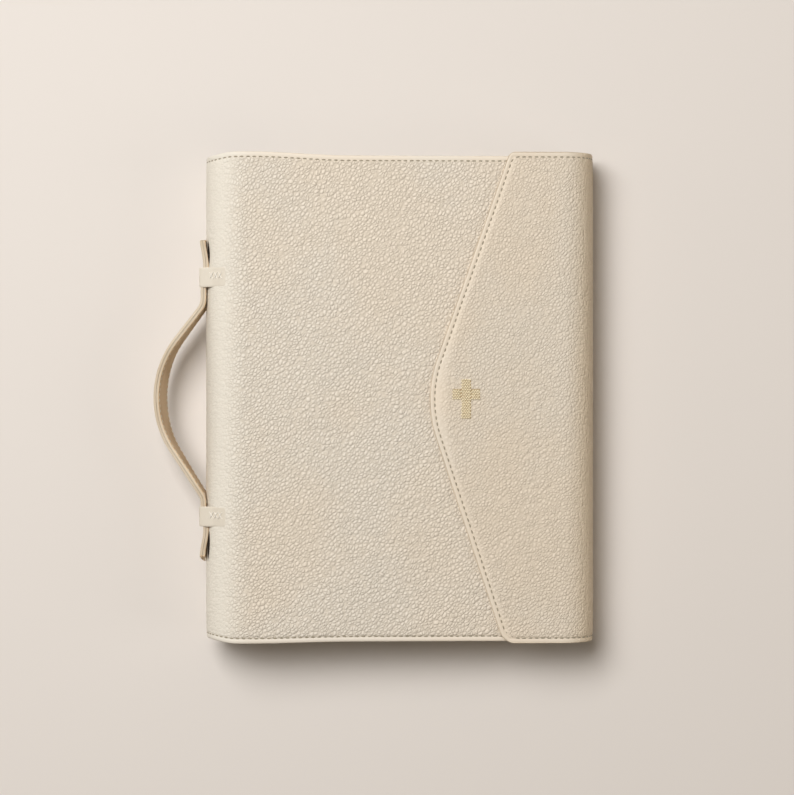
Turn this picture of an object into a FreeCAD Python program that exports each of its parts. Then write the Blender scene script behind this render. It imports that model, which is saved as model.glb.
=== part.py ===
import FreeCAD, Part
import math
import os

# A bible in a leather cover with a folding flap and a strap handle. The spine lies to -X, the fore edge
# to +X, the head to +Y, and the back cover rests on z = 0. Millimetres throughout.

os.makedirs("parts", exist_ok=True)

# ---- driving dimensions ----------------------------------------------------------------------
SPINE_R = 21.0            # outside radius of the rounded spine
SPINE_X = -78.5           # X of the spine's centre, and of both cover hinges
TOP_Z = 2 * SPINE_R       # height of the cover at the spine
TILT = 2.09               # the front cover slopes down this much towards the fore edge, degrees
HALF_TALL = 125.0         # half height of the spine and of the flap
HALF_FRONT = 123.7        # half height of the front panel, which is drawn in a little
HALF_BACK = 124.4         # half height of the back panel
LEATHER = 1.4
STIFFENER = 1.0
CREASE = 11.0             # soft leather between the spine and each stiffener
LINING = 0.6
BOARD = 2.0               # the bible's own boards
SLEEVE = 0.7              # suede pocket that holds a board
LINING_SET_BACK = 0.6     # the linings stop this far inside the leather's edge
FRONT_EDGE = 86.0         # X of the front cover's fore edge
FRONT_CORNER_R = 3.0
FRONT_STIFFENER_IN = 2.4  # the stiffener stops this far inside the front cover's edge
HINGE_GAP = 0.3           # the front cover starts this far past the spine's centre
HALF_BOARD = 119.5
BOARD_X0 = -72.0
BOARD_X1 = 84.3
BOARD_R = (0.8, 5.0)      # corner radii of a board at the spine and at the fore edge
HALF_POCKET = 121.4
POCKET_X0 = 12.0
POCKET_X1 = 85.3
POCKET_R = 2.0
PAGE_HALF = 117.5
PAGE_X0 = -74.0
PAGE_X1 = 83.4
GUTTER_X = -50.0          # loose leaves are modelled from here to the fore edge
LEAF_GAP = 0.35
LEAF_THICK = (2.0, 2.5, 3.0)
FLYLEAF = 0.3
LEAF_R = 6.0              # rounded corners of the leaves
LEAF_STEP = 0.4           # clearance between the sewn pages and the loose leaves
ENDPAPER_PROUD = 0.2      # the endpapers stand this far past the pages

FLAP_GAP = 0.35           # clearance between the closed flap and the front cover
FLAP_LEATHER = 1.0
FLAP_LINING = 0.4
FLAP_R = 17.0             # outside radius where the flap turns over the fore edge
FORE_X = 99.5             # outside face of the gusset
FOLD_R = 3.0              # bend from the back cover up into the gusset
GUSSET_LOW = 2.9          # the gusset starts here, just above that bend
TURN_SPLIT = (44.0, 46.0) # the gusset ends and the flap starts at these angles of the turn, degrees
TURN_LINING_END = 84.0
FLAP_FLAT_X = 80.0        # the flap's stiffener and lining stop here
FLAP_STIFFENER_IN = 2.6
FLAP_LINING_IN = 0.7
FLAP_TOP_X = 56.0         # X of the flap's slanted edge at its top, its point and its bottom
FLAP_POINT = (11.8, -0.5)
FLAP_LOW_X = 52.8
FLAP_POINT_SHIFT = 1.06   # how far the point moves for each millimetre of inset
FLAP_RADII = (3.0, 62.0, 6.0)               # at the top corner, the point and the bottom corner
MAGNET_R = 6.0
MAGNET_PLAY = 0.1
MAGNET_AT = ((30.0, 11.0), (34.0, -38.0))   # X, Y of each closing magnet
CROSS_POST = (31.6, 36.3, -10.7, 9.2)       # X and Y spans of the cross's upright and its arms
CROSS_ARMS = (27.0, 40.8, -1.0, 4.4)
CROSS_RISE = 0.5

STRAP_W = 20.0            # strap width
PLY = 1.2                 # the strap is two plies of this
STRAP_OUT = 26.0          # how far the handle stands off the spine
BOW_R = 51.0              # outside radius of the handle's middle
BOW_ANGLE = 37.0          # half angle of that arc, and the slope of the straight runs
BEND_R = 12.0             # radius of the reverse bend beside each keeper
DROOP = 7.0               # the handle hangs this far out of the horizontal, degrees
BOW_CUT = 44.0            # the swinging bow ends here
STUB_CUT = 44.4           # and the fixed end of the strap starts here
SWING_X = -101.5          # the bow swings about this line, level with the spine's centre
STRAP_TAILS = (82.0, -85.0)                 # Y of the strap's two ends
LOOP_T = 1.2
LOOP_PLAY = (0.2, 0.3)    # clearance between a keeper and the strap, outside it and above it
LOOP_FOOT = (120.0, 140.0)                  # a keeper is stitched to the spine between these angles, degrees
LOOPS = ((56.5, 66.5), (-66.0, -55.8))      # Y span of each keeper loop

SPINE_ROOM = 6.4          # the bible's spine stops this far below the cover's top
SPINE_BULGE = 1.8         # and is this much rounded
SPINE_BACK_X = -75.2
SPINE_THICK = 1.1
ROLL_R = 1.1              # head and tail bands
ROLL_ENDS = (1.0, 8.2)    # their distances from the back endpaper and from the cover's top
FAR = 200.0               # past everything


def v(x, y, z):
    return FreeCAD.Vector(x, y, z)


def box(x0, x1, y0, y1, z0, z1):
    return Part.makeBox(x1 - x0, y1 - y0, z1 - z0, v(x0, y0, z0))


def tipped(x, z):
    """The place in the world, in X and Z, of a point drawn on the level front cover."""
    a = math.radians(TILT)
    dx = x - SPINE_X
    dz = z - TOP_Z
    return SPINE_X + dx * math.cos(a) + dz * math.sin(a), TOP_Z - dx * math.sin(a) + dz * math.cos(a)


def tip(shape):
    """Turn a solid drawn level with the front cover down to the cover's slope."""
    out = shape.copy()
    out.rotate(v(SPINE_X, 0, TOP_Z), v(0, 1, 0), TILT)
    return out


def edges_of(path, inset, y):
    """Edges of a smooth path in X and Z, moved inset mm to its left."""
    out = []
    for item in path:
        if item[0] == "line":
            (x0, z0), (x1, z1) = item[1], item[2]
            size = math.hypot(x1 - x0, z1 - z0)
            nx = -(z1 - z0) / size * inset
            nz = (x1 - x0) / size * inset
            out.append(Part.makeLine(v(x0 + nx, y, z0 + nz), v(x1 + nx, y, z1 + nz)))
        else:
            (cx, cz), r, a0, a1 = item[1], item[2] - inset, item[3], item[4]
            spots = []
            for a in (a0, (a0 + a1) / 2, a1):
                t = math.radians(a)
                spots.append(v(cx + r * math.cos(t), y, cz + r * math.sin(t)))
            out.append(Part.Arc(spots[0], spots[1], spots[2]).toShape())
    return out


def ends(edges):
    """First and last points of a chain of edges drawn in order."""
    return edges[0].valueAt(edges[0].FirstParameter), edges[-1].valueAt(edges[-1].LastParameter)


def band(path, inset0, inset1, half):
    """A layer between two insets of a path, swept along Y from -half to half."""
    outer = edges_of(path, inset0, -half)
    inner = edges_of(path, inset1, -half)
    o0, o1 = ends(outer)
    i0, i1 = ends(inner)
    wire = Part.Wire(Part.__sortEdges__(outer + [Part.makeLine(o1, i1)] + inner + [Part.makeLine(i0, o0)]))
    return Part.Face(wire).extrude(v(0, 2 * half, 0))


def rounded_sheet(x0, x1, half, z0, z1, r_left, r_right):
    """A flat sheet with its two left and its two right corners rounded."""
    solid = box(x0, x1, -half, half, z0, z1)
    for x, r in ((x0, r_left), (x1, r_right)):
        if r > 0:
            picks = [e for e in solid.Edges
                     if abs(e.Vertexes[0].X - x) < 1e-6 and abs(e.Vertexes[1].X - x) < 1e-6
                     and abs(e.Vertexes[0].Y - e.Vertexes[1].Y) < 1e-6]
            solid = solid.makeFillet(r, picks)
    return solid


def prism(edges, z0, z1):
    """A closed outline in X and Y, extruded from z0 to z1."""
    face = Part.Face(Part.Wire(Part.__sortEdges__(edges)))
    face.translate(v(0, 0, z0))
    return face.extrude(v(0, 0, z1 - z0))


# ---- outlines --------------------------------------------------------------------------------
def front_outline(grow=0.0):
    """Plan of the front panel: full height at the spine, drawn in towards the middle."""
    straight_x = -28.0
    near = SPINE_X + HINGE_GAP
    half_at = ((near, HALF_TALL), (-64.0, HALF_TALL - 0.25), (-48.0, HALF_TALL - 0.85), (straight_x, HALF_FRONT))
    far = FRONT_EDGE
    r = FRONT_CORNER_R
    diagonal = r * math.sin(math.radians(45))
    edges = []
    for side in (1, -1):
        points = [v(x, side * (h + grow), 0) for x, h in half_at]
        curve = Part.BSplineCurve()
        curve.interpolate(points)
        edges.append(curve.toShape())
        h = side * (HALF_FRONT + grow)
        edges.append(Part.makeLine(v(straight_x, h, 0), v(far - r, h, 0)))
        mid = v(far - r + diagonal, h - side * (r - diagonal), 0)
        edges.append(Part.Arc(v(far - r, h, 0), mid, v(far, h - side * r, 0)).toShape())
    edges.append(Part.makeLine(v(far, HALF_FRONT + grow - r, 0), v(far, -HALF_FRONT - grow + r, 0)))
    edges.append(Part.makeLine(v(near, HALF_TALL + grow, 0), v(near, -HALF_TALL - grow, 0)))
    return edges


def fillet_2d(a, b, c, r):
    """Tangent points and middle of an arc of radius r in the corner at b."""
    ab = (a - b).normalize()
    cb = (c - b).normalize()
    half = ab.getAngle(cb) / 2
    reach = r / math.tan(half)
    centre = b + (ab + cb).normalize() * (r / math.sin(half))
    mid = centre + (b - centre).normalize() * r
    return b + ab * reach, mid, b + cb * reach


def flap_outline(inset=0.0, far=120.0):
    """Plan of the flap: straight sides that lean in to a broad rounded point near the middle."""
    top = v(FLAP_TOP_X + inset, HALF_TALL - inset, 0)
    low = v(FLAP_LOW_X + inset, -HALF_TALL + inset, 0)
    point = v(FLAP_POINT[0] + FLAP_POINT_SHIFT * inset, FLAP_POINT[1], 0)
    right_top = v(far, HALF_TALL - inset, 0)
    right_low = v(far, -HALF_TALL + inset, 0)
    turns = ((right_top, top, point), (top, point, low), (point, low, right_low))
    edges = []
    last = right_top
    for (a, b, c), r in zip(turns, FLAP_RADII):
        p, mid, q = fillet_2d(a, b, c, r)
        edges.append(Part.makeLine(last, p))
        edges.append(Part.Arc(p, mid, q).toShape())
        last = q
    edges.append(Part.makeLine(last, right_low))
    edges.append(Part.makeLine(right_low, right_top))
    return edges


# ---- the leather cover -----------------------------------------------------------------------
def back_cover():
    fold_x = FORE_X - FOLD_R
    fold = (("line", (SPINE_X, 0.0), (fold_x, 0.0)), ("arc", (fold_x, FOLD_R), FOLD_R, 270.0, 330.0))
    leather = band(fold, 0.0, LEATHER, HALF_BACK)
    z = LEATHER
    stiff = rounded_sheet(SPINE_X + CREASE, fold_x - 2.5, HALF_BACK - 3.0, z, z + STIFFENER, 1.0, 3.0)
    z += STIFFENER
    lining = rounded_sheet(SPINE_X, fold_x - 1.5, HALF_BACK - LINING_SET_BACK, z, z + LINING, 0.0, 3.0)
    return leather, stiff, lining


def spine():
    ring = (("arc", (SPINE_X, SPINE_R), SPINE_R, 90.0, 270.0),)
    lining = band(ring, LEATHER, LEATHER + LINING, HALF_TALL - LINING_SET_BACK)
    return band(ring, 0.0, LEATHER, HALF_TALL), lining


def sleeve(z_board, z_cover):
    """A pocket closed on three sides: a panel over the board and a wall down to the lining."""
    step = 1 if z_board > z_cover else -1
    low, high = sorted((z_cover, z_board + step * SLEEVE))
    outer = rounded_sheet(POCKET_X0, POCKET_X1, HALF_POCKET, low, high, 0.0, POCKET_R)
    low, high = sorted((z_cover - step, z_board))
    half = HALF_POCKET - SLEEVE
    return outer.cut(box(POCKET_X0 - 1, POCKET_X1 - SLEEVE, -half, half, low, high))


def set_magnets(stiffener, z):
    """A stiffener bored for its two magnets, level at z, and the magnets."""
    magnets = []
    for x, y in MAGNET_AT:
        stiffener = stiffener.cut(Part.makeCylinder(MAGNET_R + MAGNET_PLAY, STIFFENER, v(x, y, z)))
        magnets.append(tip(Part.makeCylinder(MAGNET_R, STIFFENER, v(x, y, z))))
    return tip(stiffener), magnets


def front_cover():
    z = TOP_Z - LEATHER
    leather = prism(front_outline(), z, TOP_Z)
    z -= STIFFENER
    stiff = rounded_sheet(SPINE_X + CREASE, FRONT_EDGE - FRONT_STIFFENER_IN, HALF_FRONT - FRONT_STIFFENER_IN,
                          z, z + STIFFENER, 1.0, 2.0)
    stiff, magnets = set_magnets(stiff, z)
    lining = prism(front_outline(-0.5), z - LINING, z)
    lining = lining.common(box(SPINE_X + HINGE_GAP, FRONT_EDGE - 0.5, -FAR, FAR, z - LINING, z))
    z -= LINING
    board = rounded_sheet(BOARD_X0, BOARD_X1, HALF_BOARD, z - BOARD, z, *BOARD_R)
    return [tip(leather), stiff, tip(lining), tip(board), tip(sleeve(z - BOARD, z))] + magnets


# ---- the gusset and the flap -----------------------------------------------------------------
FLAP_THICK = FLAP_LEATHER + STIFFENER + FLAP_LINING
FLAP_TOP = TOP_Z + FLAP_GAP + FLAP_THICK     # outside of the flap, drawn level


def flap_turn():
    """Centre of the arc that carries the flap over the fore edge."""
    a = math.radians(TILT)
    cx = FORE_X - FLAP_R
    reach = (cx + FLAP_R * math.sin(a) - SPINE_X - (FLAP_TOP - TOP_Z) * math.sin(a)) / math.cos(a)
    px, pz = tipped(SPINE_X + reach, FLAP_TOP)
    return (cx, pz - FLAP_R * math.cos(a)), (px, pz)


def gusset():
    centre, _ = flap_turn()
    path = (("line", (FORE_X, GUSSET_LOW), (FORE_X, centre[1])), ("arc", centre, FLAP_R, 0.0, TURN_SPLIT[0]))
    leather = band(path, 0.0, LEATHER, HALF_BACK)
    return leather, band(path, LEATHER, LEATHER + LINING, HALF_BACK - LINING_SET_BACK)


def flap():
    centre, start = flap_turn()
    far = tipped(FLAP_POINT[0] - 6.8, FLAP_TOP)
    path = (("arc", centre, FLAP_R, TURN_SPLIT[1], 90.0 - TILT), ("line", start, far))
    leather = band(path, 0.0, FLAP_LEATHER, HALF_TALL + 5.0).common(prism(flap_outline(), 10, 60))
    z = FLAP_TOP - FLAP_LEATHER - STIFFENER
    stiff = prism(flap_outline(FLAP_STIFFENER_IN, FLAP_FLAT_X), z, z + STIFFENER)
    stiff, magnets = set_magnets(stiff, z)
    lining = tip(prism(flap_outline(FLAP_LINING_IN, FLAP_FLAT_X), z - FLAP_LINING, z))
    curved = (("arc", centre, FLAP_R, TURN_SPLIT[1], TURN_LINING_END),)
    turn = band(curved, FLAP_LEATHER, FLAP_LEATHER + FLAP_LINING, HALF_TALL - FLAP_LINING_IN)
    return leather, stiff, lining, turn, magnets


def cross():
    """An embroidered cross that stands a little proud of the flap."""
    post = box(*CROSS_POST, FLAP_TOP, FLAP_TOP + CROSS_RISE)
    arms = box(*CROSS_ARMS, FLAP_TOP, FLAP_TOP + CROSS_RISE)
    return tip(post.fuse(arms).removeSplitter())


# ---- the strap and its keepers ---------------------------------------------------------------
def bow_path():
    """Places on the outside of the strap from its middle out to the spine, for +Y."""
    a = math.radians(BOW_ANGLE)
    outer_flat = SPINE_X - SPINE_R - 2 * PLY
    apex = SPINE_X - SPINE_R - STRAP_OUT
    cx = apex + BOW_R
    arc_end = (cx - BOW_R * math.cos(a), BOW_R * math.sin(a))
    bend_x = outer_flat - BEND_R * (1 - math.cos(a))
    bend_y = arc_end[1] + (bend_x - arc_end[0]) / math.tan(a)
    return cx, arc_end, (bend_x, bend_y), (outer_flat, bend_y + BEND_R * math.sin(a))


def strap_face(inset0, inset1):
    """Plan of a ply from one tail to the other, between two insets from the outside face."""
    cx, arc_end, bend, flat = bow_path()
    a = math.radians(BOW_ANGLE)
    sides = []
    for inset in (inset0, inset1):
        points = []
        edges = []
        r = BOW_R - inset
        nx = math.cos(a) * inset
        ny = -math.sin(a) * inset
        end = (cx - r * math.cos(a), r * math.sin(a))
        edges.append(Part.Arc(v(end[0], -end[1], 0), v(cx - r, 0, 0), v(end[0], end[1], 0)).toShape())
        bend_r = BEND_R + inset
        centre = (flat[0] - BEND_R, flat[1])
        b = (bend[0] + nx, bend[1] + ny)
        mid = (centre[0] + bend_r * math.cos(a / 2), centre[1] - bend_r * math.sin(a / 2))
        level = centre[0] + bend_r
        for side, far in ((1, STRAP_TAILS[0]), (-1, -STRAP_TAILS[1])):
            edges.append(Part.makeLine(v(end[0], side * end[1], 0), v(b[0], side * b[1], 0)))
            edges.append(Part.Arc(v(b[0], side * b[1], 0), v(mid[0], side * mid[1], 0),
                                  v(level, side * centre[1], 0)).toShape())
            edges.append(Part.makeLine(v(level, side * centre[1], 0), v(level, side * far, 0)))
            points.append(v(level, side * far, 0))
        sides.append((edges, points))
    edges = sides[0][0] + sides[1][0]
    for i in (0, 1):
        edges.append(Part.makeLine(sides[0][1][i], sides[1][1][i]))
    return Part.Face(Part.Wire(Part.__sortEdges__(edges)))


def strap():
    """The strap's two plies as a swinging bow, and its two fixed ends."""
    def layer(inset0, inset1, y0, y1):
        face = strap_face(inset0, inset1)
        face.translate(v(0, 0, SPINE_R - STRAP_W / 2))
        return face.extrude(v(0, 0, STRAP_W)).common(box(-FAR, 0, y0, y1, 0, FAR))

    plies = [layer(0.0, PLY, -BOW_CUT, BOW_CUT), layer(PLY, 2 * PLY, -BOW_CUT, BOW_CUT)]
    for ply in plies:
        ply.rotate(v(SWING_X, 0, SPINE_R), v(0, 1, 0), -DROOP)
    return plies, layer(0.0, 2 * PLY, STUB_CUT, FAR), layer(0.0, 2 * PLY, -FAR, -STUB_CUT)


def keeper(y0, y1):
    """A band over the strap, stitched down to the spine on both sides of it."""
    out_x = SPINE_X - SPINE_R - 2 * PLY - LOOP_PLAY[0]
    rise = STRAP_W / 2 + LOOP_PLAY[1]
    start, end = LOOP_FOOT
    middle = (start + end) / 2

    def spot(r, deg):
        t = math.radians(deg)
        return v(SPINE_X + r * math.cos(t), y0, SPINE_R + r * math.sin(t))

    def side(r, x, z):
        corners = [v(x, y0, SPINE_R + z), v(x, y0, SPINE_R - z)]
        return [Part.Arc(spot(r, start), spot(r, middle), spot(r, end)).toShape(),
                Part.makeLine(spot(r, end), corners[0]),
                Part.makeLine(corners[0], corners[1]),
                Part.makeLine(corners[1], spot(r, -end)),
                Part.Arc(spot(r, -end), spot(r, -middle), spot(r, -start)).toShape()]

    inner_r = SPINE_R
    outer_r = SPINE_R + LOOP_T
    edges = side(inner_r, out_x, rise) + side(outer_r, out_x - LOOP_T, rise + 0.9)
    for angle in (start, -start):
        edges.append(Part.makeLine(spot(inner_r, angle), spot(outer_r, angle)))
    face = Part.Face(Part.Wire(Part.__sortEdges__(edges)))
    return face.extrude(v(0, y1 - y0, 0))


# ---- the bible -------------------------------------------------------------------------------
BACK_STACK = LEATHER + STIFFENER + LINING                 # z of the back lining's inside
BACK_PAGES = BACK_STACK + BOARD + SLEEVE + LEAF_GAP       # z where the back endpaper starts
FRONT_INSIDE = TOP_Z - LEATHER - STIFFENER - LINING - BOARD - SLEEVE


def leaf_levels():
    """Level heights of the top and underside of each group of loose leaves."""
    out = []
    high = FRONT_INSIDE - LEAF_GAP - FLYLEAF
    for thick in LEAF_THICK:
        out.append((high, high - thick))
        high = high - thick - LEAF_GAP
    return out, high


def text_block():
    """The sewn pages: thicker at the spine, with a step where the loose leaves start."""
    high = leaf_levels()[1]
    low = BACK_PAGES + FLYLEAF
    top = FRONT_INSIDE - LEAF_GAP
    points = [(PAGE_X0, low), (PAGE_X1, low)]
    points.append(tipped(PAGE_X1, high))
    points.append(tipped(GUTTER_X - LEAF_STEP, high))
    points.append(tipped(GUTTER_X - LEAF_STEP, top))
    points.append(tipped(PAGE_X0, top))
    points.append(points[0])
    wire = Part.makePolygon([v(x, -PAGE_HALF, z) for x, z in points])
    return Part.Face(wire).extrude(v(0, 2 * PAGE_HALF, 0))


def endpaper(x0, z):
    """A thin leaf that stands a little past the pages."""
    return rounded_sheet(x0, PAGE_X1 + ENDPAPER_PROUD, PAGE_HALF + ENDPAPER_PROUD, z, z + FLYLEAF, 0.0, LEAF_R)


def leaves():
    """The three groups of loose leaves and the flyleaf over them."""
    levels = leaf_levels()[0]
    out = []
    for high, low in levels:
        out.append(tip(rounded_sheet(GUTTER_X, PAGE_X1, PAGE_HALF, low, high, 0.0, LEAF_R)))
    return out, tip(endpaper(GUTTER_X, levels[0][0]))


def back_of_bible():
    z = BACK_STACK
    board = rounded_sheet(BOARD_X0, BOARD_X1, HALF_BOARD, z, z + BOARD, *BOARD_R)
    return board, sleeve(z + BOARD, z), endpaper(PAGE_X0, BACK_PAGES)


def bible_spine():
    """The bible's own limp spine, a shallow curve behind the pages."""
    low = BACK_STACK + LINING
    high = TOP_Z - SPINE_ROOM
    mid = (low + high) / 2
    points = ((SPINE_BACK_X, low), (SPINE_BACK_X - SPINE_BULGE, mid), (SPINE_BACK_X, high))
    outer = Part.Arc(*[v(x - SPINE_THICK, -HALF_BOARD, z) for x, z in points]).toShape()
    inner = Part.Arc(*[v(x, -HALF_BOARD, z) for x, z in points]).toShape()
    edges = [outer, inner]
    for x, z in (points[0], points[2]):
        edges.append(Part.makeLine(v(x - SPINE_THICK, -HALF_BOARD, z), v(x, -HALF_BOARD, z)))
    return Part.Face(Part.Wire(Part.__sortEdges__(edges))).extrude(v(0, 2 * HALF_BOARD, 0))


def band_roll(side):
    """A worked band at one end of the pages' back: a half round roll."""
    low = BACK_PAGES + ROLL_ENDS[0]
    high = TOP_Z - ROLL_ENDS[1]
    roll = Part.makeCylinder(ROLL_R, high - low, v(PAGE_X0 + ROLL_R, side * PAGE_HALF, low))
    near, far = sorted((side * PAGE_HALF, side * (PAGE_HALF + 2 * ROLL_R)))
    return roll.common(box(-FAR, FAR, near, far, low, high))


# ---- put everything together -----------------------------------------------------------------
nodes = {}
nodes["back_cover_leather"], nodes["back_stiffener"], nodes["back_lining"] = back_cover()
nodes["spine_leather"], nodes["spine_lining"] = spine()
names = ("front_cover_leather", "front_stiffener", "front_lining", "bible_front_board", "front_sleeve_pocket",
         "cover_magnet_upper", "cover_magnet_lower")
for name, solid in zip(names, front_cover()):
    nodes[name] = solid
nodes["fore_edge_gusset"], nodes["gusset_lining"] = gusset()
leather, stiff, lining, turn, magnets = flap()
nodes["flap_leather"] = leather
nodes["flap_stiffener"] = stiff
nodes["flap_lining"] = lining
nodes["flap_turn_lining"] = turn
nodes["flap_magnet_upper"], nodes["flap_magnet_lower"] = magnets
nodes["cross_emblem"] = cross()
plies, upper, lower = strap()
nodes["handle_strap_outer"], nodes["handle_strap_inner"] = plies
nodes["upper_strap_end"] = upper
nodes["lower_strap_end"] = lower
nodes["upper_keeper_loop"] = keeper(*LOOPS[0])
nodes["lower_keeper_loop"] = keeper(*LOOPS[1])
nodes["bible_back_board"], nodes["back_sleeve_pocket"], nodes["back_endpaper"] = back_of_bible()
nodes["bible_spine"] = bible_spine()
nodes["text_block"] = text_block()
groups, flyleaf = leaves()
nodes["first_leaves"], nodes["second_leaves"], nodes["third_leaves"] = groups
nodes["front_endpaper"] = flyleaf
nodes["head_band"] = band_roll(1)
nodes["tail_band"] = band_roll(-1)

for name in sorted(nodes):
    shape = nodes[name]
    shape.exportStep("parts/" + name + ".step")
    b = shape.BoundBox
    print(f"{name:22s} solids {len(shape.Solids)} valid {shape.isValid()} volume {shape.Volume:10.1f} "
          f"x {b.XMin:8.2f} {b.XMax:8.2f} y {b.YMin:8.2f} {b.YMax:8.2f} z {b.ZMin:7.2f} {b.ZMax:7.2f}")
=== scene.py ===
import math

import bpy
import numpy as np
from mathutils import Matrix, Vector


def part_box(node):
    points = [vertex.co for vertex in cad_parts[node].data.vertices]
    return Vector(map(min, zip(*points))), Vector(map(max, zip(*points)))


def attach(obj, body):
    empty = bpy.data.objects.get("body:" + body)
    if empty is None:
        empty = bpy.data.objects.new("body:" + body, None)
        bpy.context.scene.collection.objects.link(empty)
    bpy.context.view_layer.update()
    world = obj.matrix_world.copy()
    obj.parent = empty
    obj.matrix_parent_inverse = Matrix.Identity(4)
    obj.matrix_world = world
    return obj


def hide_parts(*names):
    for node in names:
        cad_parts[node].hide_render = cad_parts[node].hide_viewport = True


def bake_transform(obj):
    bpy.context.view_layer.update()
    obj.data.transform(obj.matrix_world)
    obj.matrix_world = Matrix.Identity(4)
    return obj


# A bible in a pebbled leather cover, lying on its back cover: the spine and the strap handle are at -X,
# the flap folds over the fore edge at +X. Lengths are in millimetres until a mesh is written.

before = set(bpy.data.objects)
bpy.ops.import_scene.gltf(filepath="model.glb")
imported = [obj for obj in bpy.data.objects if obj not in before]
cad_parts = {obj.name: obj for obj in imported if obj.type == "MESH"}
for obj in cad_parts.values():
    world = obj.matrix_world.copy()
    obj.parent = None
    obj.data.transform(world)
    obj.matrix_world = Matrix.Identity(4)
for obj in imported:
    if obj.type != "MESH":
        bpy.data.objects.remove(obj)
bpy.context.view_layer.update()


# ---- driving dimensions ------------------------------------------------------------------------
def node_box(name):
    """A CAD node's two corners, in millimetres."""
    low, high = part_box(name)
    return np.array(low) * 1000, np.array(high) * 1000


SPINE_LOW, SPINE_HIGH = node_box("spine_leather")
SPINE_R = SPINE_HIGH[2] / 2                      # outside radius of the rounded spine
SPINE_X = SPINE_LOW[0] + SPINE_R                 # X of its centre
HALF_TALL = SPINE_HIGH[1]
FORE_X = node_box("fore_edge_gusset")[1][0]      # outside face of the gusset
FRONT_END = node_box("front_cover_leather")[1][0]
FLAP_TALL = node_box("flap_leather")[1][1]
TILT = 2.09                                      # slope of the front cover and the flap, degrees
LEATHER = 1.4
LINING = 0.6
FLAP_LEATHER = 1.3
FLAP_THICK = 2.4
FOLD_R = 3.0                                     # bend from the back cover up into the gusset
TURN_R = 17.0                                    # bend from the gusset over into the flap
FLAP_RISE = 0.35 + FLAP_THICK                    # the flap's outside above the front cover's
GUSSET_SEAM = 14.0                               # height where the gusset's and the flap's leather meet
EDGE_R = 1.5                                     # roll of a turned edge
STITCH_IN = 2.6                                  # stitch line from the edge
STITCH_PITCH = 3.2
STITCH_LONG = 2.15
BORDER = 7.0                                     # width of the finely divided strip beside an edge
NEAR = np.array([0.0, 0.12, 0.3, 0.55, 0.9, 1.3, 1.75, 2.15, 2.6, 3.05, 3.5, 4.1, 4.9, 5.9])
SIDE_STEP = 1.9                                  # grid step across the cover, between its borders
PUFF = 0.22                                      # rise of the hide inside its stitch line
FLAP_PUFF = 0.26
SEWN_GAP = 0.02                                  # between a hide and the lining sewn to it
LINING_IN = 0.7                                  # how far a lining stops short of the hide at head and tail

DROOP = 8.0                                      # the handle hangs this far below level, degrees
SWING_X = -101.5
STRAP_W = 20.0
PLY = 1.4
BOW_APEX = SPINE_LOW[0] - 25.8
STRAP_FLAT = SPINE_LOW[0] - 2.4                  # outside of the strap where it lies on the spine
STRAP_CREASE = 1.9                               # pressed line beside each edge of the strap
TAIL_SHADOW_S = 9.0                                     # distance up the spine, from its outermost line, of the painted shadow beside each strap tail
TAIL_SHADOW_HALF = 1.45
TAIL_SHADOW_LEAN = 0.9
LOOP_SPANS = {"upper": (56.5, 66.5), "lower": (-66.0, -55.8)}
PAGE_CORNER = 4.0
TEXT_BLOCK_TOP = -15.15                          # under the third leaves, from the cover's outside
TEXT_BLOCK_BOTTOM = 6.4                          # Z of the text block's flat underside
LAST_LEAF_LEVEL = -36.0                          # leaf_level along that underside

rng = np.random.default_rng(11)


# ---- paths and meshes --------------------------------------------------------------------------
def route(start, heading, side, *runs):
    """A smooth path in X and Z. It starts at a point with a heading in degrees, then each run is
    ("go", length) or ("turn", radius, degrees), left positive. The result gives, for distances s
    along it, the point and the unit normal on the chosen side (1 left, -1 right)."""
    legs = []
    x, z, t, s = start[0], start[1], math.radians(heading), 0.0
    for run in runs:
        if run[0] == "go":
            legs.append((s, x, z, t, 0.0))
            x, z, s = x + run[1] * math.cos(t), z + run[1] * math.sin(t), s + run[1]
        else:
            r, turn = run[1], math.radians(run[2])
            k = math.copysign(1.0 / r, turn)
            legs.append((s, x, z, t, k))
            x += (math.sin(t + turn) - math.sin(t)) / k
            z -= (math.cos(t + turn) - math.cos(t)) / k
            t, s = t + turn, s + r * abs(turn)

    def at(d):
        d = np.asarray(d, float)
        px, pz, head = np.zeros_like(d), np.zeros_like(d), np.zeros_like(d)
        for s0, x0, z0, t0, k in legs:
            here = d >= s0 if s0 > 0 else np.ones_like(d, bool)
            e = d - s0
            if k == 0.0:
                new = (x0 + e * math.cos(t0), z0 + e * math.sin(t0), np.full_like(d, t0))
            else:
                h = t0 + k * e
                new = (x0 + (np.sin(h) - math.sin(t0)) / k, z0 - (np.cos(h) - math.cos(t0)) / k, h)
            px, pz, head = (np.where(here, n, old) for n, old in zip(new, (px, pz, head)))
        return px, pz, -side * np.sin(head), side * np.cos(head)

    at.length = s
    return at


def place(path, s, y, off):
    """Points at distance s along a path, height y up the book, and off outside the path."""
    x, z, nx, nz = path(s)
    return np.stack([x + nx * off, np.broadcast_to(y, x.shape), z + nz * off], axis=-1)


def smooth(t):
    """0 below 0, 1 above 1, and a smooth rise between."""
    t = np.clip(t, 0.0, 1.0)
    return t * t * (3.0 - 2.0 * t)


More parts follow.
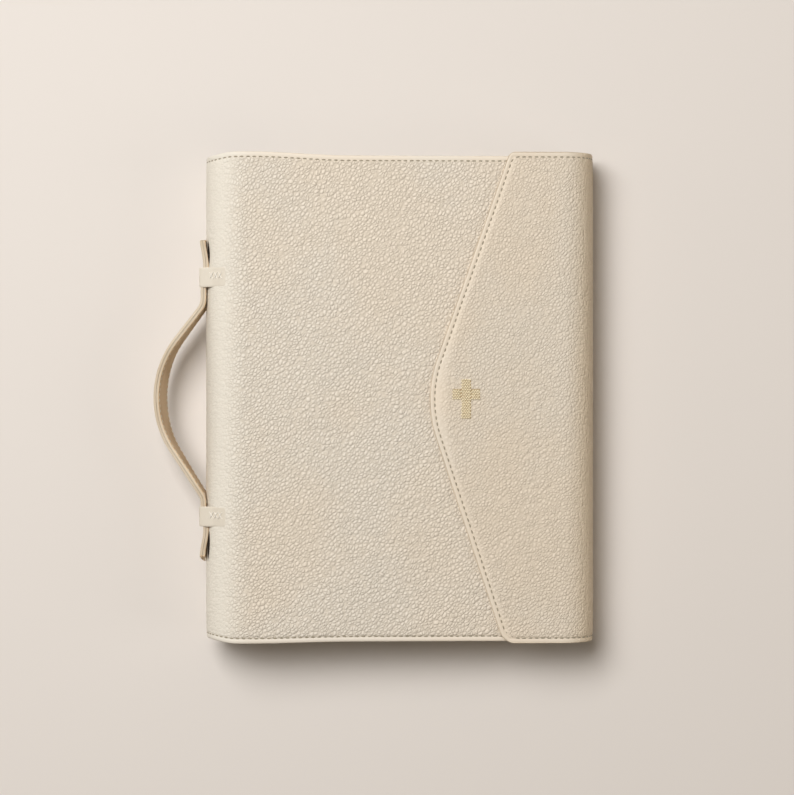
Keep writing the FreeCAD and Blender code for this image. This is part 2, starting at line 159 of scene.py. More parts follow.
def write_mesh(name, points, faces, materials, face_slots=None, **fields):
    """A mesh object from points in millimetres and a list of face arrays, turned so that its volume is
    positive, with each named field stored as a point attribute."""
    points = np.asarray(points, float).reshape(-1, 3) / 1000.0
    fans = [f[:, [0, k, k + 1]] for f in faces for k in range(1, f.shape[1] - 1)]
    tri = points[np.concatenate(fans)]
    inside_out = np.einsum("ij,ij->i", tri[:, 0], np.cross(tri[:, 1], tri[:, 2])).sum() < 0
    every = [row for f in faces for row in (f[:, ::-1] if inside_out else f).tolist()]
    mesh = bpy.data.meshes.new(name)
    mesh.from_pydata(points.tolist(), [], every)
    for material in materials:
        mesh.materials.append(material)
    if face_slots is not None:
        mesh.polygons.foreach_set("material_index", np.asarray(face_slots, np.int32))
    for field, values in fields.items():
        layer = mesh.attributes.new(field, "FLOAT", "POINT")
        layer.data.foreach_set("value", np.asarray(values, np.float32).ravel())
    mesh.polygons.foreach_set("use_smooth", np.ones(len(mesh.polygons), bool))
    mesh.set_sharp_from_angle(angle=math.radians(60.0))
    mesh.update()
    piece = bpy.data.objects.new(name, mesh)
    bpy.context.scene.collection.objects.link(piece)
    return piece


def grid_faces(rows, columns, wrap=False):
    """Quads of a grid whose second direction closes on itself if wrap is set."""
    index = np.arange(rows * columns).reshape(rows, columns)
    if wrap:
        index = np.concatenate([index, index[:, :1]], axis=1)
    return np.stack([index[:-1, :-1], index[1:, :-1], index[1:, 1:], index[:-1, 1:]], -1).reshape(-1, 4)


def shell(name, outer, inner, materials, slots=(0, 0, 0, 0), **fields):
    """A sheet with thickness: two grids of the same shape joined round their rim. The slots are the
    material numbers of the outer face, the inner face, the rim, and the rim at the far end."""
    rows, columns = outer.shape[:2]
    count = rows * columns
    faces = grid_faces(rows, columns)
    index = np.arange(count).reshape(rows, columns)
    ring = np.concatenate([index[:, 0], index[-1, 1:], index[-2::-1, -1], index[0, -2:0:-1]])
    after = np.roll(ring, -1)
    rim = np.stack([after, ring, ring + count, after + count], -1)
    numbers = np.concatenate([np.full(len(faces), slots[0]), np.full(len(faces), slots[1]),
                              np.full(len(rim), slots[2])])
    far = 2 * len(faces) + rows - 1
    numbers[far:far + columns - 1] = slots[3]
    both = {k: np.concatenate([np.ravel(v[0]), np.ravel(v[1])]) for k, v in fields.items()}
    points = np.concatenate([outer.reshape(-1, 3), inner.reshape(-1, 3)])
    return write_mesh(name, points, [np.concatenate([faces, faces[:, ::-1] + count, rim])], materials,
                      numbers, **both)


def stations(low, high, fine_low, fine_high, step):
    """Places from low to high, finely spaced beside a finished end and step apart elsewhere."""
    a = low + (BORDER if fine_low else 0.0)
    b = high - (BORDER if fine_high else 0.0)
    middle = np.linspace(a, b, max(2, int(round((b - a) / step)) + 1))
    parts = [low + NEAR] if fine_low else []
    parts.append(middle)
    if fine_high:
        parts.append((high - NEAR)[::-1])
    return np.concatenate(parts)


# ---- materials ---------------------------------------------------------------------------------
def link(tree, a, out, b, into):
    """Join one node's output to another's input."""
    tree.links.new(a.outputs[out], b.inputs[into])


def add(tree, kind, **settings):
    """A shader node with its properties and the named or numbered inputs set."""
    node = tree.nodes.new(kind)
    for key, value in settings.items():
        if key == "values":
            for socket, number in value.items():
                node.inputs[socket].default_value = number
        else:
            setattr(node, key, value)
    return node


def math_node(tree, operation, a, b=None, c=None):
    """A Math node on sockets or plain numbers, and its output."""
    node = add(tree, "ShaderNodeMath", operation=operation)
    for k, value in enumerate((a, b, c)):
        if isinstance(value, (int, float)):
            node.inputs[k].default_value = value
        elif value is not None:
            tree.links.new(value, node.inputs[k])
    return node.outputs[0]


def mix_colour(tree, amount, a, b, blend="MIX"):
    """A colour mix of sockets or plain colours, and its output."""
    node = add(tree, "ShaderNodeMix", data_type="RGBA", blend_type=blend)
    for socket, value in ((node.inputs[0], amount), (node.inputs[6], a), (node.inputs[7], b)):
        if hasattr(value, "default_value"):
            tree.links.new(value, socket)
        else:
            socket.default_value = value if isinstance(value, (int, float)) else (*value, 1.0)
    return node.outputs[2]


def new_group(name, inputs, outputs):
    """An empty shader group with float, colour or vector sockets."""
    group = bpy.data.node_groups.new(name, "ShaderNodeTree")
    kinds = {"f": "NodeSocketFloat", "c": "NodeSocketColor", "v": "NodeSocketVector"}
    for label, kind in inputs:
        group.interface.new_socket(label, in_out="INPUT", socket_type=kinds[kind])
    for label, kind in outputs:
        group.interface.new_socket(label, in_out="OUTPUT", socket_type=kinds[kind])
    return group, add(group, "NodeGroupInput"), add(group, "NodeGroupOutput")


def remap(tree, value, low, high):
    """A value stretched with soft ends so that low becomes 0 and high becomes 1."""
    node = add(tree, "ShaderNodeMapRange", interpolation_type="SMOOTHSTEP")
    tree.links.new(value, node.inputs[0])
    node.inputs[1].default_value = low
    node.inputs[2].default_value = high
    return node.outputs[0]


def grouped(tree, group, spot, **values):
    """A node of a shader group, read at a place, with its other inputs set."""
    node = add(tree, "ShaderNodeGroup", node_tree=group, values=values)
    tree.links.new(spot, node.inputs["Place"])
    return node


def noise_at(tree, spot, scale, detail):
    """The value of a noise texture at a place."""
    node = add(tree, "ShaderNodeTexNoise", values={"Scale": scale, "Detail": detail})
    tree.links.new(spot, node.inputs["Vector"])
    return node.outputs[0]


def tinted(colour, shares):
    """A colour with each channel multiplied by its share."""
    return tuple(c * f for c, f in zip(colour, shares))


PEBBLE_SLANT = math.radians(50.0)
PEBBLE_STRETCH = (1.22, 0.86, 1.0)
PEBBLE_BEND = 0.0016                             # how far slow noise shifts the grain, in metres


def build_pebble_group():
    """Soft pebbled grain: rounded cells of two sizes, drawn out on a slant and bent by slow noise."""
    group, given, result = new_group("pebbled_grain", [("Place", "v"), ("Pebble", "f")],
                                     [("Height", "f"), ("Crease", "f"), ("Drift", "f")])
    bend = add(group, "ShaderNodeTexNoise", values={"Scale": 150.0, "Detail": 1.0})
    link(group, given, "Place", bend, "Vector")
    shift = add(group, "ShaderNodeVectorMath", operation="MULTIPLY_ADD")
    link(group, bend, "Color", shift, 0)
    shift.inputs[1].default_value = (PEBBLE_BEND,) * 3
    link(group, given, "Place", shift, 2)
    turn = add(group, "ShaderNodeMapping", vector_type="TEXTURE")
    turn.inputs["Rotation"].default_value = (0.0, 0.0, PEBBLE_SLANT)
    turn.inputs["Scale"].default_value = PEBBLE_STRETCH
    link(group, shift, 0, turn, "Vector")
    size = math_node(group, "DIVIDE", 1.0, given.outputs["Pebble"])
    cells = []
    for scale, soft in ((1.0, 0.32), (1.9, 0.4)):
        node = add(group, "ShaderNodeTexVoronoi", feature="SMOOTH_F1", values={"Smoothness": soft})
        link(group, turn, 0, node, "Vector")
        group.links.new(math_node(group, "MULTIPLY", size, scale), node.inputs["Scale"])
        cells.append(node.outputs["Distance"])
    split = add(group, "ShaderNodeTexVoronoi", feature="DISTANCE_TO_EDGE")
    link(group, turn, 0, split, "Vector")
    group.links.new(size, split.inputs["Scale"])
    flank = remap(group, split.outputs["Distance"], 0.0, 0.20)
    dome = math_node(group, "SUBTRACT", 1.0, math_node(group, "POWER", cells[0], 1.6))
    height = math_node(group, "MULTIPLY_ADD", flank, 0.42, dome)
    height = math_node(group, "MULTIPLY_ADD", cells[1], -0.30, height)
    group.links.new(height, result.inputs["Height"])
    group.links.new(math_node(group, "SUBTRACT", 1.0, flank), result.inputs["Crease"])
    drift = add(group, "ShaderNodeTexNoise", values={"Scale": 16.0, "Detail": 3.0})
    link(group, given, "Place", drift, "Vector")
    link(group, drift, 0, result, "Drift")
    return group


def build_crush_group():
    """Fine wrinkles drawn out one way, as where hide is bent or pressed together."""
    group, given, result = new_group("crushed_grain", [("Place", "v")], [("Across", "f"), ("Along", "f")])
    for label, stretch in (("Across", (90.0, 620.0, 90.0)), ("Along", (560.0, 95.0, 560.0))):
        place_node = add(group, "ShaderNodeMapping")
        place_node.inputs["Scale"].default_value = stretch
        link(group, given, "Place", place_node, "Vector")
        fold = add(group, "ShaderNodeTexNoise",
                   values={"Scale": 1.0, "Detail": 3.0, "Roughness": 0.6, "Distortion": 0.6})
        link(group, place_node, 0, fold, "Vector")
        link(group, fold, 0, result, label)
    return group


def build_fibre_group():
    """Short nap or paper fibre: fine noise for height and tone, with a slower cloud over it."""
    group, given, result = new_group("fibre", [("Place", "v"), ("Scale", "f")],
                                     [("Height", "f"), ("Cloud", "f")])
    fine = add(group, "ShaderNodeTexNoise", values={"Detail": 4.0, "Roughness": 0.65})
    link(group, given, "Place", fine, "Vector")
    link(group, given, "Scale", fine, "Scale")
    cloud = add(group, "ShaderNodeTexNoise", values={"Scale": 40.0, "Detail": 3.0})
    link(group, given, "Place", cloud, "Vector")
    link(group, fine, 0, result, "Height")
    link(group, cloud, 0, result, "Cloud")
    return group


PEBBLE = build_pebble_group()
CRUSH = build_crush_group()
FIBRE = build_fibre_group()


def new_material(name, colour, roughness, **fixed):
    """A material with its tree, its Principled shader and its object coordinates."""
    material = bpy.data.materials.new(name)
    material.use_nodes = True
    tree = material.node_tree
    tree.nodes.clear()
    out = add(tree, "ShaderNodeOutputMaterial")
    skin = add(tree, "ShaderNodeBsdfPrincipled",
               values={"Base Color": (*colour, 1.0), "Roughness": roughness})
    for socket, value in fixed.items():
        skin.inputs[socket.replace("_", " ")].default_value = value
    link(tree, skin, 0, out, 0)
    place_node = add(tree, "ShaderNodeTexCoord")
    material.diffuse_color = (*colour, 1.0)
    return material, tree, skin, place_node.outputs["Object"]


def bump(tree, skin, height, depth):
    """Bump of a height socket, depth in metres, into the shader's normal."""
    node = add(tree, "ShaderNodeBump", values={"Strength": 1.0, "Distance": depth})
    tree.links.new(height, node.inputs["Height"])
    tree.links.new(node.outputs[0], skin.inputs["Normal"])


def paint(tree, skin, tone):
    """A colour socket into the shader's base colour."""
    tree.links.new(tone, skin.inputs["Base Color"])


def grain_leather(name, colour, pebble, depth, crease_share):
    """Cream pebbled hide. The point fields say where: grain 0 is a smooth turned edge, channel 1 is the
    pressed stitch line, spine 1 is the paler, flatter spine, fold 1 is the wrinkled bend."""
    material, tree, skin, spot = new_material(name, colour, 0.55, Specular_IOR_Level=0.3)
    grain = grouped(tree, PEBBLE, spot, Pebble=pebble)
    crush = grouped(tree, CRUSH, spot)
    keep, channel, spine, fold = (add(tree, "ShaderNodeAttribute", attribute_name=field).outputs["Fac"]
                                  for field in ("grain", "channel", "spine", "fold"))
    calm = math_node(tree, "MULTIPLY_ADD", fold, -0.45, 1.0)
    calm = math_node(tree, "MULTIPLY_ADD", math_node(tree, "POWER", spine, 3.0), -0.72, calm)
    amount = math_node(tree, "MULTIPLY", keep, calm)
    crease = math_node(tree, "MULTIPLY", grain.outputs["Crease"], amount)
    dark = tinted(colour, (0.72, 0.68, 0.62))
    warm = tinted(colour, (1.02, 0.99, 0.955))
    pale = tinted(colour, (1.01, 1.045, 1.07))
    tan = tinted(colour, (0.94, 0.85, 0.71))
    tone = mix_colour(tree, remap(tree, grain.outputs["Drift"], 0.38, 0.64), colour, warm)
    tone = mix_colour(tree, spine, tone, pale)
    tone = mix_colour(tree, math_node(tree, "MULTIPLY", fold, 0.8), tone, tan)
    tone = mix_colour(tree, math_node(tree, "MULTIPLY", crease, crease_share), tone, dark)
    tone = mix_colour(tree, math_node(tree, "MULTIPLY", channel, 0.18), tone, dark)
    paint(tree, skin, tone)
    tree.links.new(math_node(tree, "MULTIPLY_ADD", crease, 0.2, 0.52), skin.inputs["Roughness"])
    height = math_node(tree, "MULTIPLY", grain.outputs["Height"], amount)
    height = math_node(tree, "MULTIPLY_ADD", noise_at(tree, spot, 1500.0, 2.0), 0.06, height)
    for way, field, share in (("Across", spine, 0.55), ("Along", fold, 2.6)):
        wrinkled = math_node(tree, "MULTIPLY", field, share)
        height = math_node(tree, "MULTIPLY_ADD", crush.outputs[way], wrinkled, height)
    bump(tree, skin, height, depth)
    return material


def plain_leather(name, colour, dark_share, depth, roughness=0.5, scale=900.0):
    """Smooth leather: faint pores and a slow drift of tone that is rougher where it is darker."""
    material, tree, skin, spot = new_material(name, colour, roughness, Specular_IOR_Level=0.35)
    pores = grouped(tree, FIBRE, spot, Scale=scale)
    cloud = remap(tree, pores.outputs["Cloud"], 0.35, 0.68)
    paint(tree, skin, mix_colour(tree, cloud, colour, tinted(colour, dark_share)))
    tree.links.new(math_node(tree, "MULTIPLY_ADD", cloud, 0.15, roughness), skin.inputs["Roughness"])
    bump(tree, skin, pores.outputs["Height"], depth)
    return material


def suede(name, colour):
    """Lining suede: a short nap that mottles the tone."""
    material, tree, skin, spot = new_material(name, colour, 0.95, Specular_IOR_Level=0.15, Sheen_Weight=0.35,
                                              Sheen_Roughness=0.5)
    nap = grouped(tree, FIBRE, spot, Scale=1400.0)
    cloud = math_node(tree, "MULTIPLY", nap.outputs["Cloud"], 0.2)
    amount = math_node(tree, "MULTIPLY_ADD", nap.outputs["Height"], 1.1, cloud)
    dark = tinted(colour, (0.78, 0.78, 0.78))
    paint(tree, skin, mix_colour(tree, remap(tree, amount, 0.4, 0.95), colour, dark))
    bump(tree, skin, nap.outputs["Height"], 0.0003)
    return material


def thread(name, colour, twist=2600.0):
    """Waxed or satin thread: fine strands across its length."""
    material, tree, skin, spot = new_material(name, colour, 0.6, Specular_IOR_Level=0.4, Sheen_Weight=0.2)
    strand = add(tree, "ShaderNodeTexWave", wave_type="BANDS", bands_direction="DIAGONAL",
                 values={"Scale": twist, "Distortion": 1.5, "Detail": 1.0})
    tree.links.new(spot, strand.inputs["Vector"])
    amount = math_node(tree, "MULTIPLY", strand.outputs["Fac"], 0.45)
    paint(tree, skin, mix_colour(tree, amount, colour, tinted(colour, (0.66, 0.66, 0.66))))
    bump(tree, skin, strand.outputs["Fac"], 0.00003)
    return material


def page_paper(name, colour, leaf_tone):
    """Paper with faint cloudiness."""
    material, tree, skin, spot = new_material(name, colour, 0.85, Specular_IOR_Level=0.2)
    fibre = grouped(tree, FIBRE, spot, Scale=700.0)
    amount = math_node(tree, "MULTIPLY", fibre.outputs["Cloud"], 0.12)
    paint(tree, skin, mix_colour(tree, amount, colour, tinted(colour, leaf_tone)))
    bump(tree, skin, fibre.outputs["Height"], 0.00006)
    return material


def page_edges(name, colour, leaf_tone):
    """The cut edges of many thin leaves: fine lines that follow the field leaf_level."""
    material, tree, skin, spot = new_material(name, colour, 0.9, Specular_IOR_Level=0.15)
    level = add(tree, "ShaderNodeAttribute", attribute_name="leaf_level").outputs["Fac"]
    lines = add(tree, "ShaderNodeTexNoise", noise_dimensions="1D",
                values={"Scale": 6.5, "Detail": 3.0, "Roughness": 0.75})
    sway = noise_at(tree, spot, 25.0, 1.0)
    tree.links.new(math_node(tree, "MULTIPLY_ADD", sway, 0.5, level), lines.inputs["W"])
    mark = remap(tree, lines.outputs[0], 0.36, 0.62)
    amount = math_node(tree, "MULTIPLY", mark, 0.85)
    paint(tree, skin, mix_colour(tree, amount, colour, tinted(colour, leaf_tone)))
    bump(tree, skin, math_node(tree, "SUBTRACT", 1.0, mark), 0.0003)
    return material


def card(name, colour):
    """Grey-brown board with flecks."""
    material, tree, skin, spot = new_material(name, colour, 0.9)
    fleck = grouped(tree, FIBRE, spot, Scale=500.0)
    amount = remap(tree, fleck.outputs["Height"], 0.5, 0.7)
    paint(tree, skin, mix_colour(tree, amount, colour, tinted(colour, (0.6, 0.6, 0.6))))
    bump(tree, skin, fleck.outputs["Height"], 0.0001)
    return material


def plated_steel(name, colour):
    """Plated magnet: a fine brushed skin."""
    material, tree, skin, spot = new_material(name, colour, 0.35, Metallic=1.0)
    brush = noise_at(tree, spot, 900.0, 2.0)
    tree.links.new(math_node(tree, "MULTIPLY_ADD", brush, 0.25, 0.25), skin.inputs["Roughness"])
    bump(tree, skin, brush, 0.00003)
    return material


CREAM = (0.750, 0.682, 0.583)
HIDE = grain_leather("cream_pebbled_hide", CREAM, 0.00174, 0.00050, 0.38)
FLAP_HIDE = grain_leather("cream_flap_hide", (0.724, 0.645, 0.536), 0.00156, 0.00042, 0.27)
STRAP_SKIN = plain_leather("strap_leather_grain_side", (0.61, 0.515, 0.39), (0.90, 0.87, 0.83), 0.0001)
# Tan flesh side of the strap, set far lighter than such leather is: partly its own colour, partly painted
# light for the inner face, which the lamps barely reach.
FLESH_SIDE_WITH_PAINTED_LIGHT = plain_leather("strap_flesh_side_painted_light", (0.82, 0.635, 0.435), (0.80, 0.76, 0.70), 0.0002,
                            0.75, 600.0)
KEEPER_SKIN = plain_leather("keeper_leather", (0.69, 0.632, 0.535), (0.95, 0.94, 0.92), 0.00008)
# Near-black painted shadow: stands for the deep shade between each strap tail and the curving spine.
TAIL_SHADOW_PAINT = plain_leather("painted_tail_shadow", (0.035, 0.02, 0.012), (0.7, 0.7, 0.7), 0.0001, 0.8)
SUEDE = suede("lining_suede", (0.46, 0.37, 0.26))
STITCH_THREAD = thread("stone_grey_thread", (0.35, 0.30, 0.215))
PALE_THREAD = thread("pale_thread", (0.90, 0.86, 0.78))
CROSS_THREAD = thread("gold_beige_thread", (0.98, 0.87, 0.63), 1800.0)
CROSS_GROUND = thread("beige_ground_thread", (0.45, 0.34, 0.19), 1400.0)
PAGES = page_paper("thin_bible_paper", (0.80, 0.755, 0.655), (0.72, 0.66, 0.55))
PAGE_EDGES = page_edges("bible_page_edges", (0.74, 0.68, 0.56), (0.62, 0.56, 0.46))
ENDPAPER = page_paper("endpaper", (0.66, 0.58, 0.44), (0.8, 0.76, 0.7))
BINDING = plain_leather("dark_binding_leather", (0.052, 0.024, 0.016), (0.6, 0.6, 0.6), 0.00025, 0.5, 500.0)
CARD = card("stiffener_card", (0.26, 0.21, 0.15))
BAND_THREAD = thread("band_thread", (0.55, 0.42, 0.22))
PLATED = plated_steel("plated_magnet", (0.55, 0.55, 0.55))


# ---- the cover's shape -------------------------------------------------------------------------
tilt = math.radians(TILT)
front_path = route((SPINE_LOW[0], SPINE_R), 90.0, 1, ("turn", SPINE_R, -(90.0 + TILT)), ("go", 175.0))
SPINE_ARC = SPINE_R * math.radians(90.0 + TILT)
FRONT_LONG = SPINE_ARC + (FRONT_END - (SPINE_X + SPINE_R * math.sin(tilt))) / math.cos(tilt)

turn_x = FORE_X - TURN_R
flap_start_x = turn_x + TURN_R * math.sin(tilt)
flap_start_z = 2 * SPINE_R - (flap_start_x - SPINE_X - FLAP_RISE * math.sin(tilt)) * math.tan(tilt) \
    + FLAP_RISE * math.cos(tilt)
turn_z = flap_start_z - TURN_R * math.cos(tilt)
BACK_ARC = SPINE_R * math.pi / 2
BACK_LONG = BACK_ARC + FORE_X - FOLD_R - SPINE_X
FOLD_END = BACK_LONG + FOLD_R * math.pi / 2
GUSSET_END = FOLD_END + turn_z - FOLD_R
FLAP_FLAT = GUSSET_END + TURN_R * math.radians(90.0 - TILT)
wrap_path = route((SPINE_LOW[0], SPINE_R), -90.0, -1, ("turn", SPINE_R, 90.0), ("go", BACK_LONG - BACK_ARC),
                  ("turn", FOLD_R, 90.0), ("go", GUSSET_END - FOLD_END), ("turn", TURN_R, 90.0 - TILT),
                  ("go", 80.0))
BACK_SEAM = BACK_LONG - 7.0
SEAM_S = FOLD_END + GUSSET_SEAM - FOLD_R


def drawn_in(x):
    """How far the ends of the cover are drawn in at a place along it: a little where the spine turns
    under, nothing at its shoulder, then more across the front panel."""
    return 1.5 * smooth((-84.0 - x) / 15.0), smooth((x + 76.0) / 52.0)


def front_reach(s):
    """Top and bottom Y of the front panel and the upper spine at distance s."""
    x = front_path(s)[0]
    under, panel = drawn_in(x)
    return HALF_TALL - under - 1.9 * panel, HALF_TALL - under - 0.9 * panel


def back_reach(s):
    """Half height of the lower spine, the back and the gusset at distance s."""
    under = np.where(s < BACK_ARC, drawn_in(wrap_path(s)[0])[0], 0.0)
    back = 0.6 * smooth((s - BACK_ARC) / 30.0) * (1.0 - smooth((s - FOLD_END + 2.0) / 8.0))
    return HALF_TALL - under - back


def edge_roll(d, thickness):
    """How far a turned edge falls from the flat face at distance d from the rim: a quarter round."""
    t = np.clip(1.0 - d / EDGE_R, 0.0, 1.0)
    return 0.42 * thickness * (1.0 - np.sqrt(np.maximum(1.0 - t * t, 0.0)))


def quilt(d, puff):
    """Lift of the hide beside a stitch line: a channel at the stitches and a soft rise inside it."""
    channel = -0.30 * np.exp(-((d - STITCH_IN) / 0.55) ** 2)
    rise = puff * (1.0 - np.exp(-np.maximum(d - STITCH_IN, 0.0) / 5.0))
    return channel + rise


def ripple(x, y):
    """Slow hollows and swells of soft leather, under a third of a millimetre."""
    return (0.13 * np.sin(x / 17.0 + 1.3 * np.sin(y / 31.0)) * np.cos(y / 23.0 + 0.7)
            + 0.10 * np.sin(x / 9.5 - y / 14.0 + 0.4) * np.sin(y / 37.0 + 1.1))


def corner_trim(y, top, bottom, r):
    """How much shorter the sheet is at height y, for a corner of radius r at its far end."""
    into = np.maximum(np.maximum(y - (top - r), -(y + bottom - r)), 0.0)
    return r - np.sqrt(np.maximum(r * r - np.minimum(into, r) ** 2, 0.0))


def leather_fields(d, spine=0.0, fold=0.0):
    """Point fields for the hide: grain fades on the turned edge and channel peaks on the stitch line."""
    grain = smooth((d - 1.9) / 1.6)
    channel = np.exp(-((d - STITCH_IN) / 0.45) ** 2)
    outside = (grain, channel, spine + 0.0 * d, fold + 0.0 * d)
    return {label: (field, 0.0 * d) for label, field in zip(("grain", "channel", "spine", "fold"), outside)}


def front_grid():
    """Distances, heights and distances to the edge over the upper spine and the front panel."""
    s = stations(0.0, FRONT_LONG, False, True, 1.7)[:, None]
    y = stations(-HALF_TALL, HALF_TALL, True, True, SIDE_STEP)[None, :]
    top, bottom = front_reach(s)
    y = np.where(y > 0, y * top / HALF_TALL, y * bottom / HALF_TALL)
    trim = corner_trim(y, top, bottom, 3.0)
    s = s - trim * smooth((s - FRONT_LONG + 12.0) / 12.0)
    d = np.minimum(np.minimum(top - y, bottom + y), FRONT_LONG - trim - s)
    return s, y, np.maximum(d, 0.0)


def front_lift(s, y, d):
    """Height of the front hide's grain side over its path: puffed, swelling between spine and flap."""
    x = front_path(s)[0]
    calm = smooth((x + 96.0) / 14.0) * (1.0 - smooth((x - flap_edge(y) + 7.0) / 7.0))
    return quilt(d, PUFF) + ripple(x, y) * calm * smooth(d / 9.0) - edge_roll(d, LEATHER)


def spine_zone(x):
    """1 on the rounded spine, fading to 0 over the first part of the panels."""
    return 1.0 - smooth((x + 92.0) / 21.0)


def make_front_leather():
    """The front panel and upper spine: the lifted grid outside, the path less the leather inside."""
    s, y, d = front_grid()
    outer = place(front_path, s, y, front_lift(s, y, d))
    inner = place(front_path, s, y, -LEATHER + edge_roll(d, LEATHER))
    piece = shell("front_cover_hide", outer, inner, [HIDE], **leather_fields(d, spine_zone(front_path(s)[0])))
    return finish_piece(piece, ("front_cover_leather",), FRONT_BLEND)


def wrap_grid(s0, s1, step):
    """As front_grid, for a plain stretch of the wrap path."""
    s = np.linspace(s0, s1, max(3, int(round((s1 - s0) / step)) + 1))[:, None]
    y = stations(-HALF_TALL, HALF_TALL, True, True, SIDE_STEP)[None, :]
    reach = back_reach(s)
    y = y * reach / HALF_TALL
    return np.broadcast_to(s, y.shape), y, np.maximum(reach - np.abs(y), 0.0)


def back_lift(s, y, d):
    """Height of the hide over its path round the spine's lower half, the back and the gusset. It lies
    flat on the table, so the back has no swells."""
    flat = smooth((s - BACK_ARC + 6.0) / 6.0) * (1.0 - smooth((s - FOLD_END + 2.0) / 4.0))
    return quilt(d, PUFF) * (1.0 - flat) - edge_roll(d, LEATHER)


def make_wrap_leather(name, s0, s1, step, nodes, motion):
    """A plain stretch of the wrap in hide, wrinkled from the back's edge on."""
    s, y, d = wrap_grid(s0, s1, step)
    outer = place(wrap_path, s, y, back_lift(s, y, d))
    inner = place(wrap_path, s, y, -LEATHER + edge_roll(d, LEATHER))
    fold = smooth((s - BACK_LONG + 6.0) / 8.0)
    piece = shell(name, outer, inner, [HIDE], **leather_fields(d, spine_zone(wrap_path(s)[0]), fold))
    return finish_piece(piece, nodes, motion)


def finish_piece(piece, nodes, motion):
    """Hide the nodes the piece stands for, then let it ride on its body, or else bake its transform in place.
    """
    if nodes:
        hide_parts(*nodes)
    if isinstance(motion, str):
        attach(piece, motion)
    else:
        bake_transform(piece)
    return piece


def metres(x, z, y=0.0):
    """A point given in millimetres, in metres and in the order X, Y, Z."""
    return (x / 1000.0, y / 1000.0, z / 1000.0)


HINGE_TOP = 2 * SPINE_R + 0.3
FRONT_BLEND = ("back_cover", "front_cover", metres(-87.0, HINGE_TOP), metres(-69.0, HINGE_TOP))
GUSSET_BLEND = ("back_cover", "gusset", metres(FORE_X - 5.0, -1.0), metres(FORE_X + 0.5, 5.5))
FLAP_BLEND = ("gusset", "flap", metres(99.5, 27.0), metres(86.5, 40.0))


# ---- the flap ----------------------------------------------------------------------------------
FLAP_POINT = (11.8, -0.5)
FLAP_POINT_R = 62.0
FLAP_SLOPES = (0.352, 0.329)                     # how fast the edge runs back above and below the point
FLAP_CORNERS = (3.0, 6.0)


def flap_edge(y, inset=0.0):
    """X of the flap's edge at height y: two straight sides joined by an arc at the blunt point, and
    rounded at the top and bottom corners."""
    upper, lower = FLAP_SLOPES
    hypot = math.hypot(1.0, upper), math.hypot(1.0, lower)
    centre = (FLAP_POINT[0] + FLAP_POINT_R * (lower * hypot[0] + upper * hypot[1]) / (upper + lower),
              FLAP_POINT[1] + FLAP_POINT_R * (hypot[1] - hypot[0]) / (upper + lower))
    r = FLAP_POINT_R - inset
    up = y - FLAP_POINT[1]
    line = FLAP_POINT[0] + np.where(up > 0, upper * up + hypot[0] * inset, -lower * up + hypot[1] * inset)
    v = y - centre[1]
    arc = centre[0] - np.sqrt(np.maximum(r * r - v * v, 0.0))
    on_arc = (v < r * upper / hypot[0]) & (v > -r * lower / hypot[1])
    corners = np.where(y > 0, corner_trim(y, FLAP_TALL - inset, FLAP_TALL, FLAP_CORNERS[0]),
                       corner_trim(y, FLAP_TALL, FLAP_TALL - inset, FLAP_CORNERS[1]))
    return np.where(on_arc, arc, line) + corners


def flap_reach(y, inset=0.0):
    """Distance along the wrap path of the flap's edge at height y."""
    return FLAP_FLAT + (flap_start_x - flap_edge(y, inset)) / math.cos(tilt)


def flap_grid(start, inset=0.0, step=1.7):
    """Distances, heights and distances to the edge over the upper gusset and the flap."""
    y = stations(inset - FLAP_TALL, FLAP_TALL - inset, True, True, 1.6)[None, :]
    far = flap_reach(y, inset)
    near = NEAR[::-1, None]
    t = np.linspace(0.0, 1.0, int(round(88.0 / step)))[:, None]
    s = np.concatenate([start + t * (far - BORDER - start), far - near])
    y = np.broadcast_to(y, s.shape)
    lean = 1.0 / np.sqrt(1.0 + 0.33 ** 2 * smooth(np.abs(y) / 30.0))
    d = np.minimum(FLAP_TALL - inset - np.abs(y), (far - s) * lean)
    return s, y, np.maximum(d, 0.0)


def flap_lift(s, y, d):
    """Height of the flap's grain side over its path: calm on the gusset, softly swelling on the flap."""
    x = wrap_path(s)[0]
    on_flap = smooth((s - GUSSET_END) / 25.0)
    swell = ripple(x + 40.0, y) * 0.8 * on_flap * smooth(d / 9.0)
    return quilt(d, FLAP_PUFF) + swell - edge_roll(d, FLAP_LEATHER)


def make_flap_leather():
    """The gusset's upper part and the flap in hide, smooth in a strip along the flap's edge."""
    s, y, d = flap_grid(SEAM_S)
    thick = LEATHER + (FLAP_LEATHER - LEATHER) * smooth((s - GUSSET_END) / 20.0)
    outer = place(wrap_path, s, y, flap_lift(s, y, d))
    inner = place(wrap_path, s, y, -thick + edge_roll(d, FLAP_LEATHER))
    fold = np.maximum(1.0 - smooth((s - GUSSET_END - 8.0) / 18.0), smooth((0.5 - d) / 0.4))
    strip = 3.5 + 5.5 * np.exp(-(y / 26.0) ** 2)
    fields = leather_fields(d, 0.0, fold)
    calm = smooth((flap_reach(y) - s - STITCH_IN) / strip)
    fields["grain"] = (fields["grain"][0] * (0.15 + 0.85 * calm), fields["grain"][1])
    piece = shell("flap_hide", outer, inner, [FLAP_HIDE], **fields)
    return finish_piece(piece, ("flap_leather",), FLAP_BLEND)


# ---- linings -----------------------------------------------------------------------------------
def tuck(d, gap):
    """Depth of a lining's hidden side: over the stiffener inside, drawn up to the hide at the rim."""
    return -(LEATHER + SEWN_GAP + gap * smooth((d - 0.5) / 3.0))


def board_gap(s):
    """Room for the back stiffener: 1 along the back, fading to 0 at the spine and the gusset."""
    return smooth((s - BACK_ARC - 3.0) / 8.0) * (1.0 - smooth((s - BACK_LONG + 8.0) / 6.0))


def flap_depth(s):
    """Depth of the flap lining's visible face: leather and lining, then the whole flap's thickness."""
    return LEATHER + LINING + (FLAP_THICK - LEATHER - LINING) * smooth((s - FLAP_FLAT + 4.0) / 8.0)


